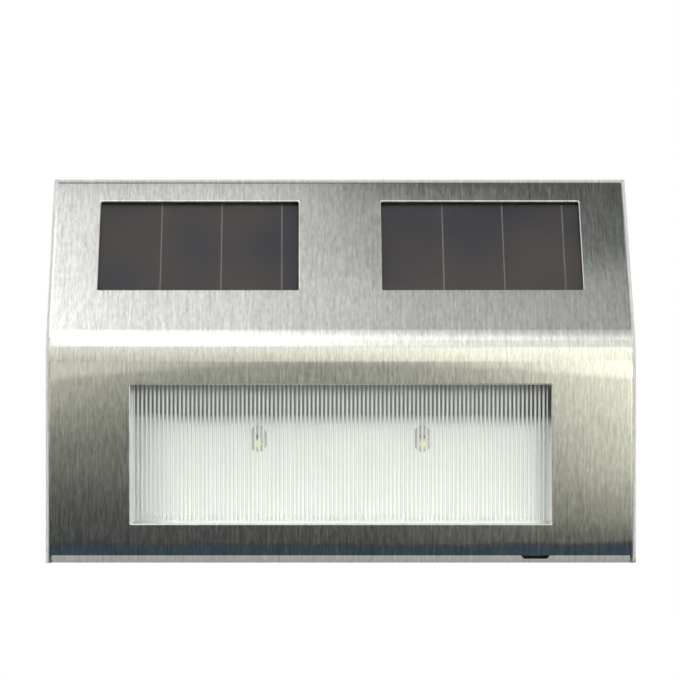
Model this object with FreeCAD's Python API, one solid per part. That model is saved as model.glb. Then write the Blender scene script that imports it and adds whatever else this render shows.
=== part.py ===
import FreeCAD, Part
import math
import os
from FreeCAD import Vector

# Solar fence light: a folded brushed steel cover over a moulded plastic frame.
# Frame: origin at the middle of the wall face, +Z up, the light looks along -Y, millimetres.

# Outside of the whole light
width = 170.0
depth = 45.0
front_height = 63.0
slope_rise = 49.0
top_depth = 10.0

# Folded sheet of the cover
sheet = 0.5
crease_radius = 16.0
side_bend_radius = 1.5
top_bend_radius = 1.5
bottom_bend_radius = 2.2
wall_gap = 0.6
corner_seam = 0.3
window_corner_radius = 0.4
window_edge_roll = 0.4

# Steel left round the window for the lens on the upright front
lens_window_side = 24.4
lens_window_below = 11.35
lens_window_above = 11.7

# Steel left round the two windows for the solar panels, measured up the slanted face
solar_window_side = 14.3
solar_window_gap = 24.4
solar_window_below = 19.5
solar_window_above = 8.3

# Weep slot in the lower bend, and the clipped lower corner on the right
weep_place = 56.0
weep_top_width = 8.4
weep_bottom_width = 6.6
weep_rise = 1.25
weep_height = 0.95
corner_clip_width = 0.9
corner_clip_height = 1.9

# Ears folded in at the back of the cheeks, where the back plate is screwed on
ear_length = 9.3
ear_width = 10.0
ear_relief = 0.8
ear_fold_radius = 0.45
ear_upper_drop = 16.0
ear_lower_rise = 12.0
collar_length = 1.5
collar_wall = 0.7

# Back plate
plate_thickness = 2.4
plate_clearance = 0.35
plate_corner_radius = 1.0
spigot_wall = 1.2
spigot_height = 3.0
spigot_clearance = 0.3

# Screws
back_screw_radius = 1.45
back_screw_length = 7.0
back_screw_head_radius = 2.75
back_screw_head_height = 1.5
small_screw_radius = 1.0
small_screw_length = 4.0
small_screw_head_radius = 1.9
small_screw_head_height = 1.2
hole_clearance = 0.15
drive_slot_width = 0.5
drive_slot_depth = 0.8
drive_slot_share = 0.62

# Keyholes for two wall screws
keyhole_spacing = 100.0
keyhole_drop = 34.0
keyhole_entry_radius = 4.25
keyhole_slot_radius = 2.2
keyhole_slot_rise = 8.0
keyhole_room = 5.0
keyhole_pocket_margin = 0.9
pocket_wall = 1.2

# Battery and its tub in the back plate
cell_radius = 7.25
cell_length = 50.5
cell_nub_radius = 2.75
cell_nub_length = 1.3
cell_cap_length = 1.2
cell_cap_radius = 5.6
cell_edge_radius = 0.8
battery_rise = 30.0
tub_wall = 1.2
tub_side_clearance = 0.45
tub_floor_clearance = 0.2
cell_door_clearance = 0.9
contact_thickness = 0.4
contact_width = 9.0
contact_height = 10.0
leaf_length = 5.7
leaf_crest = 1.6
contact_tail_length = 3.0
contact_tail_width = 2.0

# Battery door, which hooks in at its lower edge and swings out
door_thickness = 1.6
door_sink = 0.1
door_clearance = 0.3
hook_place = 18.0
hook_width = 6.0
hook_toe = 1.4
hook_thickness = 1.5
hook_neck = 1.2
hook_clearance = 0.3
hook_slot_clearance = 0.4
skirt_thickness = 1.0
skirt_depth = 2.5
skirt_length = 9.0
skirt_clearance = 0.2
snap_height = 0.12
snap_radius = 1.2
snap_share = 0.6
finger_notch_radius = 6.0
finger_notch_depth = 1.4
grip_rib_count = 5
grip_rib_pitch = 1.4
grip_rib_width = 0.6
grip_rib_depth = 0.3
grip_rib_length = 16.0

# Inner frame that carries the lens, the panels and the reflector
tape_thickness = 0.5
tape_window_margin = 0.6
frame_inset = 2.6
frame_wall = 1.6
frame_side_gap = 11.0
rim_wall = 1.2
rim_gap = 0.3
panel_clearance = 0.25
panel_ledge = 3.0
back_gasket_thickness = 1.0

# Solar panels: glass, cells and a backing sheet
panel_side_lap = 1.75
panel_end_lap = 1.6
glass_thickness = 1.1
cell_film_thickness = 0.3
backing_thickness = 0.4
panel_first_cell_width = 18.8
panel_cell_width = 17.45
panel_scribe = 0.3
panel_edge = 0.9

# Ribbed lens
lens_side_lap = 2.4
lens_end_lap = 2.8
lens_flange = 1.6
lens_body = 2.3
rib_pitch = 1.206
rib_height = 0.25
rib_groove_width = 0.55
rib_border = 0.9
lens_body_clearance = 0.3

# Reflector tray
tray_wall = 1.5
tray_mouth_margin = 0.6
tray_room = 7.5
tray_side_taper = 3.4
tray_top_taper = 9.1
tray_bottom_taper = 2.3
tray_corner_radius = 1.5
lug_reach = 6.3
lug_inset = 7.2
lug_size = 7.0
lug_thickness = 1.4
lug_boss_radius = 2.6
lug_boss_height = 3.0

# Light-emitting diodes
led_spacing = 48.0
led_tilt = 50.0
led_radius = 2.5
led_length = 8.6
led_flange_radius = 2.9
led_flange_height = 1.0
led_proud = 4.3
led_drop = 15.9
led_lead_gap = 2.54
led_lead_size = 0.5
led_lead_length = 3.0
led_anvil_width = 1.5
led_anvil_rise = 4.2
led_cup_radius = 0.9
led_cup_height = 0.9
led_socket_wall = 1.2
led_socket_clearance = 0.1
led_board_width = 62.0
led_board_low = 3.6
led_board_high = 2.5
led_board_thickness = 1.2
led_board_gap = 2.0

# Circuit board, its parts and the slide switch
board_width = 56.0
board_height = 30.0
board_rise = 21.1
board_thickness = 1.6
board_boss_radius = 2.6
board_boss_inset = 3.6
switch_inset = 12.0
switch_rise = 8.0
switch_width = 8.6
switch_height = 4.3
switch_body_depth = 3.5
switch_plate_gap = 0.3
switch_pin_pitch = 2.5
switch_pin_radius = 0.3
switch_pin_length = 3.4
switch_travel = 2.0
knob_width = 1.8
knob_height = 1.8
knob_sink = 0.6
knob_foot_width = 3.2
knob_foot_height = 2.2
knob_foot_depth = 1.0
knob_clearance = 0.2
switch_pocket_width = 10.0
switch_pocket_height = 5.2
switch_pocket_depth = 1.0

# Wires
wire_radius = 0.6
wire_spread = 2.4
bend_share = 0.45

# Shared overrun for cuts
overrun = 2.0

# Places worked out from the sizes
half_width = width / 2
height = front_height + slope_rise
z_top = height / 2
z_bottom = -height / 2
crease_z = z_bottom + front_height
slope_run = depth - top_depth
slope_length = math.hypot(slope_run, slope_rise)
slope_y = slope_run / slope_length
slope_z = slope_rise / slope_length
slope_angle = math.degrees(math.atan2(slope_run, slope_rise))

lens_window_width = width - 2 * lens_window_side
lens_z_low = z_bottom + lens_window_below
lens_z_high = crease_z - lens_window_above
lens_window_height = lens_z_high - lens_z_low
lens_z = (lens_z_low + lens_z_high) / 2
lens_width = lens_window_width + 2 * lens_side_lap
lens_height = lens_window_height + 2 * lens_end_lap
lens_front = sheet + tape_thickness
solar_window_width = half_width - solar_window_side - solar_window_gap / 2
solar_window_height = slope_length - solar_window_below - solar_window_above
solar_x = (solar_window_gap + solar_window_width) / 2
solar_s = solar_window_below + solar_window_height / 2
panel_width = solar_window_width + 2 * panel_side_lap
panel_height = solar_window_height + 2 * panel_end_lap
glass_front = sheet + tape_thickness
backing_rear = glass_front + glass_thickness + cell_film_thickness + backing_thickness

ear_upper_z = z_top - ear_upper_drop
ear_lower_z = z_bottom + ear_lower_rise
keyhole_z = z_top - keyhole_drop
battery_z = z_bottom + battery_rise
plate_front = -plate_thickness
tub_half_length = (cell_length + leaf_length + 2 * contact_thickness) / 2
tub_half_height = cell_radius + tub_side_clearance
door_rear = -door_sink
door_front = door_rear - door_thickness
cell_y = door_front - cell_door_clearance - cell_radius
tub_floor = cell_y - cell_radius - tub_floor_clearance
recess_half_length = tub_half_length + tub_wall
hinge_y = (door_rear + door_front) / 2
hinge_z = battery_z - tub_half_height - tub_wall - hook_thickness
recess_bottom = hinge_z - door_thickness / 2 - door_clearance
recess_top = battery_z + tub_half_height + tub_wall + door_clearance
door_top = recess_top - door_clearance
cell_end_x = tub_half_length - contact_thickness

frame_half = half_width - frame_side_gap
frame_rear = plate_front - back_gasket_thickness
frame_inner = frame_inset + frame_wall
seat_y = -depth + frame_inner
tray_back = tub_floor - tub_wall - tray_room - tray_wall
mouth_half = lens_window_width / 2 + tray_mouth_margin
mouth_low = lens_z_low - tray_mouth_margin
mouth_high = lens_z_high + tray_mouth_margin

lug_x = mouth_half + lug_reach
board_rear = plate_front - switch_plate_gap - switch_body_depth
board_front = board_rear - board_thickness
board_bottom = battery_z + tub_half_height + tub_wall + board_rise
switch_x = board_width / 2 - switch_inset
switch_z = board_bottom + switch_rise
led_z = lens_z_high - led_drop
led_sin = math.sin(math.radians(led_tilt))
led_cos = math.cos(math.radians(led_tilt))
led_base = led_length - led_proud
led_base_y = tray_back + led_base * led_cos
led_base_z = led_z + led_base * led_sin


def side_view(y, z):
    return Vector(0, y, z)


def front_view(x, z):
    return Vector(x, 0, z)


def rounded_wire(corners, place):
    """Closed outline through corners given as (u, v, radius), round corners as true arcs."""
    edges = []
    starts = []
    ends = []
    arcs = []
    for index, (u, v, radius) in enumerate(corners):
        here = place(u, v)
        before = place(*corners[index - 1][:2]) - here
        after = place(*corners[(index + 1) % len(corners)][:2]) - here
        if radius <= 0:
            starts.append(here)
            ends.append(here)
            arcs.append(None)
            continue
        half = before.getAngle(after) / 2
        before.normalize()
        after.normalize()
        reach = radius / math.tan(half)
        middle = before + after
        middle.normalize()
        start = here + before * reach
        end = here + after * reach
        crown = here + middle * (radius / math.sin(half) - radius)
        starts.append(start)
        ends.append(end)
        arcs.append(Part.Arc(start, crown, end))
    for index, arc in enumerate(arcs):
        if arc is not None:
            edges.append(arc.toShape())
        following = starts[(index + 1) % len(starts)]
        edges.append(Part.LineSegment(ends[index], following).toShape())
    return Part.Wire(edges)


def rectangle(u_low, u_high, v_low, v_high, radius):
    places = [(u_low, v_low), (u_high, v_low), (u_high, v_high), (u_low, v_high)]
    return [(u, v, radius) for u, v in places]


def box(x_low, x_high, y_low, y_high, z_low, z_high):
    size = (x_high - x_low, y_high - y_low, z_high - z_low)
    return Part.makeBox(*size, Vector(x_low, y_low, z_low))


def slab(x_low, x_high, z_low, z_high, radius, y_low, y_high):
    """Plate facing the viewer, with round corners, between two depths."""
    wire = rounded_wire(rectangle(x_low, x_high, z_low, z_high, radius), front_view)
    solid = Part.Face(wire).extrude(Vector(0, y_high - y_low, 0))
    solid.translate(Vector(0, y_low, 0))
    return solid


def ring(x_half, z_low, z_high, wall, y_low, y_high):
    """Frame-shaped plate whose walls stand outside the given opening."""
    outside = box(-x_half - wall, x_half + wall, y_low, y_high, z_low - wall, z_high + wall)
    return outside.cut(box(-x_half, x_half, y_low - overrun, y_high + overrun, z_low, z_high))


def post(x, z, radius, y_low, y_high):
    """Cylinder along Y between two depths."""
    return Part.makeCylinder(radius, y_high - y_low, Vector(x, y_low, z), Vector(0, 1, 0))


def prism(corners, x_low, x_high):
    """Side view outline run across the light."""
    solid = Part.Face(rounded_wire(corners, side_view)).extrude(Vector(x_high - x_low, 0, 0))
    solid.translate(Vector(x_low, 0, 0))
    return solid


def on_slope(shape):
    """Takes a shape made for the upright face, with depth inward along +Y, to the slanted face."""
    placed = shape.copy()
    placed.rotate(Vector(0, 0, 0), Vector(1, 0, 0), -slope_angle)
    placed.translate(Vector(0, -depth, crease_z))
    return placed


def on_led(shape, x):
    """Takes a shape made along -Y from its base to the tilted axis of a diode."""
    placed = shape.copy()
    placed.rotate(Vector(0, 0, 0), Vector(1, 0, 0), led_tilt)
    placed.translate(Vector(x, led_base_y, led_base_z))
    return placed


def profile(inset, rear, top_radius, bottom_radius):
    """Side view of the light drawn inward by inset, closed at the given rear depth."""
    upper = (slope_rise - inset + inset * slope_y) / slope_z
    lower = inset * (1 - slope_z) / slope_y
    bend = (-depth + upper * slope_y + inset * slope_z, z_top - inset, top_radius)
    crease = (-depth + inset, crease_z + lower * slope_z - inset * slope_y, crease_radius - inset)
    foot = (-depth + inset, z_bottom + inset, bottom_radius)
    return [(rear, z_top - inset, 0), bend, crease, foot, (rear, z_bottom + inset, 0)]


def bent_sides(shape, x_face, radius):
    """Rounds the front edges of the two cheeks with the fold's radius."""
    edges = []
    for edge in shape.Edges:
        limits = edge.BoundBox
        on_cheek = abs(abs(limits.XMin) - x_face) < sheet / 10 and limits.XLength < sheet / 10
        behind = limits.YMin > -top_depth - radius
        flat = limits.ZLength < sheet
        if on_cheek and not behind and not flat:
            edges.append(edge)
    return shape.makeFillet(radius, edges)


def screw_cross(x, z, y_face, head_radius, inward):
    """Cross slot of a screw head whose face is at y_face."""
    reach = head_radius * drive_slot_share
    half = drive_slot_width / 2
    y_low = min(y_face, y_face + inward * drive_slot_depth)
    y_high = max(y_face, y_face + inward * drive_slot_depth)
    tall = box(x - half, x + half, y_low, y_high, z - reach, z + reach)
    wide = box(x - reach, x + reach, y_low, y_high, z - half, z + half)
    return tall.fuse(wide)


def bend_wedges(inset, x_half):
    """What a sharp upper and lower corner has more than the bent ones."""
    sharp = prism(profile(inset, 0, 0, 0), -x_half, x_half)
    soft = prism(profile(inset, 0, top_bend_radius - inset, bottom_bend_radius - inset), -x_half, x_half)
    return sharp.cut(soft)


def cover_blank():
    """Folded box of sheet: outer form less the space inside it."""
    outer = prism(profile(0, -wall_gap, 0, 0), -half_width, half_width)
    outer = bent_sides(outer, half_width, side_bend_radius)
    inner_x = half_width - sheet
    space = prism(profile(sheet, 0, 0, 0), -inner_x, inner_x)
    space = bent_sides(space, inner_x, side_bend_radius - sheet)
    space = space.cut(bend_wedges(sheet, half_width))
    return outer.cut(bend_wedges(0, half_width - side_bend_radius)).cut(space)


def cover_seams():
    """Open seams where the lower and upper flanges butt against the cheeks."""
    cuts = []
    cheek = half_width - sheet
    web = half_width - side_bend_radius
    bend_rear = -depth + bottom_bend_radius
    top_rear = -top_depth + top_bend_radius
    for side in (-1, 1):
        for z_low, z_high in ((z_bottom - overrun, z_bottom + sheet), (z_top - sheet, z_top + overrun)):
            flange_front = bend_rear if z_low < 0 else top_rear
            near = sorted((side * (cheek - corner_seam), side * cheek))
            cuts.append(box(near[0], near[1], flange_front, 0, z_low, z_high))
        far = sorted((side * (web - corner_seam), side * web))
        low = z_bottom + bottom_bend_radius
        cuts.append(box(far[0], far[1], -depth - overrun, bend_rear, z_bottom - overrun, low))
    clip_x = half_width - corner_clip_width
    clip_z = z_bottom + corner_clip_height
    beyond = half_width + sheet
    below = z_bottom - sheet
    clip = [(clip_x, below, 0), (beyond, below, 0), (beyond, clip_z, 0), (half_width, clip_z, 0)]
    clip.append((clip_x, z_bottom, 0))
    corner = Part.Face(rounded_wire(clip, front_view)).extrude(Vector(0, bottom_bend_radius + sheet, 0))
    corner.translate(Vector(0, -depth - sheet, 0))
    cuts.append(corner)
    return cuts


def punched_window(x_low, x_high, z_low, z_high):
    """Cutter for a hole in a face at depth zero, flared where the punch rolls the rim over."""
    margin = 2 * window_edge_roll
    corner = window_corner_radius
    hole = slab(x_low, x_high, z_low, z_high, corner, -overrun, overrun)
    cap = slab(x_low - margin, x_high + margin, z_low - margin, z_high + margin, corner + margin, -overrun, 0)
    cutter = cap.fuse(hole)
    near = window_edge_roll / 2
    rim = []
    for edge in cutter.Edges:
        limits = edge.BoundBox
        on_face = abs(limits.YMin) < near and abs(limits.YMax) < near
        if on_face and limits.XMin > x_low - near and limits.XMax < x_high + near \
                and limits.ZMin > z_low - near and limits.ZMax < z_high + near:
            rim.append(edge)
    return cutter.makeFillet(window_edge_roll, rim)


def cover_windows():
    half = lens_window_width / 2
    front = punched_window(-half, half, lens_z_low, lens_z_high)
    front.translate(Vector(0, -depth, 0))
    cuts = [front]
    for side in (-1, 1):
        x_low = side * solar_x - solar_window_width / 2
        s_high = solar_window_below + solar_window_height
        cuts.append(on_slope(punched_window(x_low, x_low + solar_window_width, solar_window_below, s_high)))
    return cuts


def weep_slot():
    """Trapezoid slot through the lower bend, wider at its top."""
    z_low = z_bottom + weep_rise
    z_high = z_low + weep_height
    top = weep_top_width / 2
    low = weep_bottom_width / 2
    outline = [(weep_place - low, z_low, 0), (weep_place + low, z_low, 0)]
    outline += [(weep_place + top, z_high, 0), (weep_place - top, z_high, 0)]
    solid = Part.Face(rounded_wire(outline, front_view)).extrude(Vector(0, bottom_bend_radius + overrun, 0))
    solid.translate(Vector(0, -depth - overrun, 0))
    return solid


def ear_places():
    x = half_width - sheet - ear_length / 2
    return [(side * x, z) for side in (-1, 1) for z in (ear_upper_z, ear_lower_z)]


def cover_ear(x, z):
    """Ear with its drawn collar, and the notch in the cheek edge that it is folded from."""
    side = 1 if x > 0 else -1
    tip = side * (half_width - sheet - ear_length)
    edge = side * half_width
    near = sorted((tip, edge))
    half = ear_width / 2
    ear = box(near[0], near[1], plate_front - sheet, plate_front, z - half, z + half)
    fold = [item for item in ear.Edges if abs(item.BoundBox.XMin - edge) < sheet / 10
            and item.BoundBox.XLength < sheet / 10 and abs(item.BoundBox.YMin - plate_front) < sheet / 10
            and item.BoundBox.YLength < sheet / 10]
    ear = ear.makeFillet(ear_fold_radius, fold)
    collar_low = plate_front - sheet - collar_length
    collar = post(x, z, back_screw_radius + collar_wall, collar_low, plate_front - sheet)
    ear = ear.fuse(collar).cut(post(x, z, back_screw_radius, collar_low - overrun, overrun))
    wide = half + ear_relief
    span = sorted((side * (half_width - sheet - overrun), side * (half_width + overrun)))
    notch = box(span[0], span[1], plate_front - sheet, overrun, z - wide, z + wide)
    return ear, notch


def steel_cover():
    cover = cover_blank()
    for cut in cover_windows() + cover_seams():
        cover = cover.cut(cut)
    cover = cover.cut(weep_slot())
    for x, z in ear_places():
        ear, notch = cover_ear(x, z)
        cover = cover.cut(notch).fuse(ear)
    return cover.removeSplitter()


def keyhole_centres():
    return [side * keyhole_spacing / 2 for side in (-1, 1)]


def keyhole_bottom():
    return keyhole_z - keyhole_entry_radius - keyhole_pocket_margin


def keyhole_top():
    return keyhole_z + keyhole_slot_rise + keyhole_slot_radius + keyhole_pocket_margin


def keyhole_pocket(x, wall):
    """Closed pocket behind a keyhole, which keeps the wet out and clears the screw head."""
    half = keyhole_entry_radius + keyhole_pocket_margin + wall
    front = plate_front - keyhole_room - wall
    corner = wall + keyhole_pocket_margin
    return slab(x - half, x + half, keyhole_bottom() - wall, keyhole_top() + wall, corner, front, plate_front)


def keyhole_cut(x):
    through = (plate_front - overrun, overrun)
    hole = post(x, keyhole_z, keyhole_entry_radius, *through)
    slot_top = keyhole_z + keyhole_slot_rise
    slot = box(x - keyhole_slot_radius, x + keyhole_slot_radius, *through, keyhole_z, slot_top)
    cut = hole.fuse(slot).fuse(post(x, slot_top, keyhole_slot_radius, *through))
    half = keyhole_entry_radius + keyhole_pocket_margin
    room = slab(x - half, x + half, keyhole_bottom(), keyhole_top(), keyhole_pocket_margin,
                plate_front - keyhole_room, plate_front)
    return cut.fuse(room)


def hook_slots():
    """Slots for the door's two hooks, through the ledge and the lower wall of the tub."""
    half = hook_width / 2 + hook_slot_clearance
    slots = []
    for side in (-1, 1):
        x = side * hook_place
        z_high = battery_z - tub_half_height + overrun
        y_low = door_front - hook_clearance - 2 * hook_thickness - hook_toe
        slots.append(box(x - half, x + half, y_low, door_front + overrun, recess_bottom, z_high))
    return slots


def battery_tub():
    x = recess_half_length
    wall = tub_half_height + tub_wall
    outside = slab(-x, x, battery_z - wall, battery_z + wall, tub_wall, tub_floor - tub_wall, plate_front)
    return outside


def battery_space():
    """Room for the cell, open to the back, and the shallow recess that the door lies in."""
    x = tub_half_length
    room = slab(-x, x, battery_z - tub_half_height, battery_z + tub_half_height, cell_edge_radius,
                tub_floor, overrun)
    recess = slab(-recess_half_length, recess_half_length, recess_bottom, recess_top, cell_edge_radius,
                  door_front, overrun)
    notch = post(0, recess_top, finger_notch_radius, -finger_notch_depth, overrun)
    return room.fuse(recess).fuse(notch)


def contact_tail_cuts():
    """Slits in the tub's end walls for the tails of the two battery contacts."""
    cuts = []
    half = contact_tail_width / 2 + hole_clearance
    low = tub_floor + contact_thickness - hole_clearance
    high = low + contact_thickness + 2 * hole_clearance
    for side in (-1, 1):
        span = sorted((side * (tub_half_length - hole_clearance), side * (recess_half_length + overrun)))
        cuts.append(box(span[0], span[1], low, high, battery_z - half, battery_z + half))
    return cuts


def board_screw_places():
    x = board_width / 2 - board_boss_inset
    low = board_bottom + board_boss_inset
    high = board_bottom + board_height - board_boss_inset
    return [(-x, low), (x, low), (-x, high), (x, high)]


def switch_cut():
    """Slot for the switch knob, with a shallow finger pocket round it."""
    half = knob_width / 2 + switch_travel / 2 + knob_clearance
    tall = knob_height / 2 + knob_clearance
    through = (plate_front - overrun, overrun)
    slot = box(switch_x - half, switch_x + half, *through, switch_z - tall, switch_z + tall)
    wide = switch_pocket_width / 2
    high = switch_pocket_height / 2
    pocket = slab(switch_x - wide, switch_x + wide, switch_z - high, switch_z + high, knob_width,
                  -switch_pocket_depth, overrun)
    return slot.fuse(pocket)


def back_plate():
    x = half_width - sheet - plate_clearance
    z = z_top - sheet - plate_clearance
    plate = slab(-x, x, -z, z, plate_corner_radius, plate_front, 0)
    spigot_x = frame_half - frame_wall - spigot_clearance - spigot_wall
    spigot_z = z_top - frame_inner - spigot_clearance - spigot_wall
    spigot_front = plate_front - spigot_height
    plate = plate.fuse(ring(spigot_x, -spigot_z, spigot_z, spigot_wall, spigot_front, plate_front))
    plate = plate.fuse(battery_tub())
    for centre in keyhole_centres():
        plate = plate.fuse(keyhole_pocket(centre, pocket_wall))
    for bx, bz in board_screw_places():
        plate = plate.fuse(post(bx, bz, board_boss_radius, board_rear, plate_front))
    cuts = [battery_space(), switch_cut()] + hook_slots() + contact_tail_cuts()
    cuts += [keyhole_cut(centre) for centre in keyhole_centres()]
    for bx, bz in board_screw_places():
        cuts.append(post(bx, bz, small_screw_radius, board_rear - overrun, plate_front))
    for ex, ez in ear_places():
        cuts.append(post(ex, ez, back_screw_radius + hole_clearance, plate_front - overrun, overrun))
        cone_low = back_screw_radius + hole_clearance
        cone_high = back_screw_head_radius + hole_clearance
        cuts.append(Part.makeCone(cone_low, cone_high, back_screw_head_height,
                                  Vector(ex, -back_screw_head_height, ez), Vector(0, 1, 0)))
    for cut in cuts:
        plate = plate.cut(cut)
    return plate.removeSplitter()


def back_gasket():
    x = frame_half - frame_wall
    z = z_top - frame_inner
    return ring(x, -z, z, frame_wall, frame_rear, plate_front)


def door_panel():
    """Door leaf with a fully round lower edge, which rolls in the recess as the door swings."""
    half = recess_half_length - door_clearance
    leaf = box(-half, half, door_front, door_rear, hinge_z, door_top)
    roll = Part.makeCylinder(door_thickness / 2, 2 * half, Vector(-half, hinge_y, hinge_z), Vector(1, 0, 0))
    return leaf.fuse(roll)


def door_hook(x):
    """Hook that passes through its slot and reaches under the plate."""
    half = hook_width / 2
    toe_rear = plate_front - hook_clearance
    toe_front = toe_rear - hook_thickness
    neck_low = hinge_z + hook_clearance
    neck_high = neck_low + hook_neck
    neck = box(x - half, x + half, toe_front, door_front, neck_low, neck_high)
    toe = box(x - half, x + half, toe_front, toe_rear, recess_bottom - hook_toe, neck_high)
    return neck.fuse(toe)


def door_skirt(side):
    """Inner wall of the door that grips the end of the tub with two small bumps."""
    outer = side * (tub_half_length - skirt_clearance)
    inner = outer - side * skirt_thickness
    near = sorted((inner, outer))
    low = battery_z - skirt_length / 2
    high = battery_z + skirt_length / 2
    skirt = box(near[0], near[1], door_front - skirt_depth, door_front, low, high)
    for end in (-1, 1):
        z = battery_z + end * snap_share * skirt_length / 2
        bump = Part.makeCylinder(snap_radius, snap_height, Vector(outer, door_front - skirt_depth / 2, z),
                                 Vector(side, 0, 0))
        skirt = skirt.fuse(bump)
    return skirt


def battery_door():
    door = door_panel()
    for side in (-1, 1):
        door = door.fuse(door_hook(side * hook_place)).fuse(door_skirt(side))
    half = grip_rib_length / 2
    for index in range(grip_rib_count):
        z = door_top - (index + 2) * grip_rib_pitch
        groove = box(-half, half, door_rear - grip_rib_depth, door_rear + overrun, z - grip_rib_width, z)
        door = door.cut(groove)
    return door.removeSplitter()


def along_x(radius, x_low, x_high):
    return Part.makeCylinder(radius, x_high - x_low, Vector(x_low, cell_y, battery_z), Vector(1, 0, 0))


def battery_can():
    """Sleeved can of the cell, its rims rolled in."""
    start = cell_end_x - cell_length
    end = cell_end_x - cell_nub_length - cell_cap_length
    can = along_x(cell_radius, start, end)
    rims = [edge for edge in can.Edges if len(edge.Vertexes) == 1]
    return can.makeChamfer(cell_edge_radius, rims)


def battery_cap():
    """Positive end: insulating ring, cap and nub turned in one."""
    end = cell_end_x - cell_nub_length - cell_cap_length
    cap = along_x(cell_cap_radius, end, end + cell_cap_length)
    return cap.fuse(along_x(cell_nub_radius, end + cell_cap_length, cell_end_x)).removeSplitter()


def contact_plate(side):
    near = sorted((side * tub_half_length, side * (tub_half_length - contact_thickness)))
    half = contact_width / 2
    low = tub_floor + contact_thickness
    plate = box(near[0], near[1], low, low + contact_height, battery_z - half, battery_z + half)
    tail_end = recess_half_length + contact_tail_length
    span = sorted((side * (tub_half_length - contact_thickness), side * tail_end))
    tail_half = contact_tail_width / 2
    tail = box(span[0], span[1], low, low + contact_thickness, battery_z - tail_half, battery_z + tail_half)
    return plate.fuse(tail).removeSplitter()


def negative_contact():
    """End plate with a leaf spring bent out of it, pressed against the bottom of the can."""
    face = contact_thickness - tub_half_length
    tip = cell_end_x - cell_length
    half = contact_width / 2 - leaf_crest / 2
    y_low = tub_floor + contact_thickness
    y_high = y_low + contact_height
    crest = cell_y
    outline = [(face, y_high - contact_thickness), (face, y_high), (tip - leaf_crest / 2, crest + leaf_crest)]
    outline += [(tip, crest + leaf_crest / 2), (tip, crest - leaf_crest / 2)]
    hem = tip - leaf_crest
    outline += [(hem, y_low + leaf_crest), (hem - contact_thickness, y_low + leaf_crest)]
    outline += [(tip - contact_thickness, crest - leaf_crest / 2), (tip - contact_thickness, crest)]
    points = [Vector(px, py, battery_z - half) for px, py in outline]
    leaf = Part.Face(Part.makePolygon(points + points[:1])).extrude(Vector(0, 0, 2 * half))
    return contact_plate(-1).fuse(leaf).removeSplitter()


def positive_contact():
    return contact_plate(1)


def panel_frame(x, half_x, s_low, s_high, wall, d_low, d_high):
    outside = box(x - half_x - wall, x + half_x + wall, d_low, d_high, s_low - wall, s_high + wall)
    return outside.cut(box(x - half_x, x + half_x, d_low - overrun, d_high + overrun, s_low, s_high))


def inner_frame():
    """Moulded carrier: an open-backed shell that follows the cover, with seats on its front."""
    shell = prism(profile(frame_inset, frame_rear, 0, 0), -frame_half, frame_half)
    inner_half = frame_half - frame_wall
    shell = shell.cut(prism(profile(frame_inner, overrun, 0, 0), -inner_half, inner_half))
    rim_front = sheet + rim_gap
    lens_half = lens_width / 2 + panel_clearance
    lens_low = lens_z - lens_height / 2 - panel_clearance
    lens_high = lens_z + lens_height / 2 + panel_clearance
    shell = shell.fuse(ring(lens_half, lens_low, lens_high, rim_wall, rim_front - depth, frame_inset - depth))
    half = panel_width / 2 + panel_clearance
    s_low = solar_s - panel_height / 2 - panel_clearance
    s_high = solar_s + panel_height / 2 + panel_clearance
    for side in (-1, 1):
        rim_rear = frame_inset + frame_wall / 2
        rim = panel_frame(side * solar_x, half, s_low, s_high, rim_wall, rim_front, rim_rear)
        shell = shell.fuse(on_slope(rim))
    for x, z in lug_places():
        shell = shell.fuse(post(x, z, lug_boss_radius, seat_y, seat_y + lug_boss_height))
    cuts = [box(-mouth_half, mouth_half, -depth - overrun, seat_y + overrun, mouth_low, mouth_high)]
    for side in (-1, 1):
        x = side * solar_x
        open_half = panel_width / 2 - panel_ledge
        opening = box(x - open_half, x + open_half, -overrun, frame_inner + overrun,
                      solar_s - panel_height / 2 + panel_ledge, solar_s + panel_height / 2 - panel_ledge)
        seat = box(x - half, x + half, rim_front - overrun, backing_rear, s_low, s_high)
        cuts += [on_slope(opening), on_slope(seat)]
    for x, z in lug_places():
        cuts.append(post(x, z, small_screw_radius, seat_y, seat_y + lug_boss_height + overrun))
    for cut in cuts:
        shell = shell.cut(cut)
    return shell.removeSplitter()


def lug_places():
    heights = (mouth_high - lug_inset, mouth_low + lug_inset)
    return [(side * lug_x, z) for side in (-1, 1) for z in heights]


def tray_loft(margin, y_front, y_back):
    """Tapered block: the tray's inside at margin 0, its outside at one wall more."""
    corner = tray_corner_radius + margin
    x_front = mouth_half + margin
    front = rectangle(-x_front, x_front, mouth_low - margin, mouth_high + margin, corner)
    x_back = mouth_half - tray_side_taper + margin
    low = mouth_low + tray_bottom_taper - margin
    back = rectangle(-x_back, x_back, low, mouth_high - tray_top_taper + margin, corner)
    front_wire = rounded_wire(front, front_view)
    back_wire = rounded_wire(back, front_view)
    front_wire.translate(Vector(0, y_front, 0))
    back_wire.translate(Vector(0, y_back, 0))
    return Part.makeLoft([front_wire, back_wire], True, True)


def led_places():
    return [side * led_spacing / 2 for side in (-1, 1)]


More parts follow.
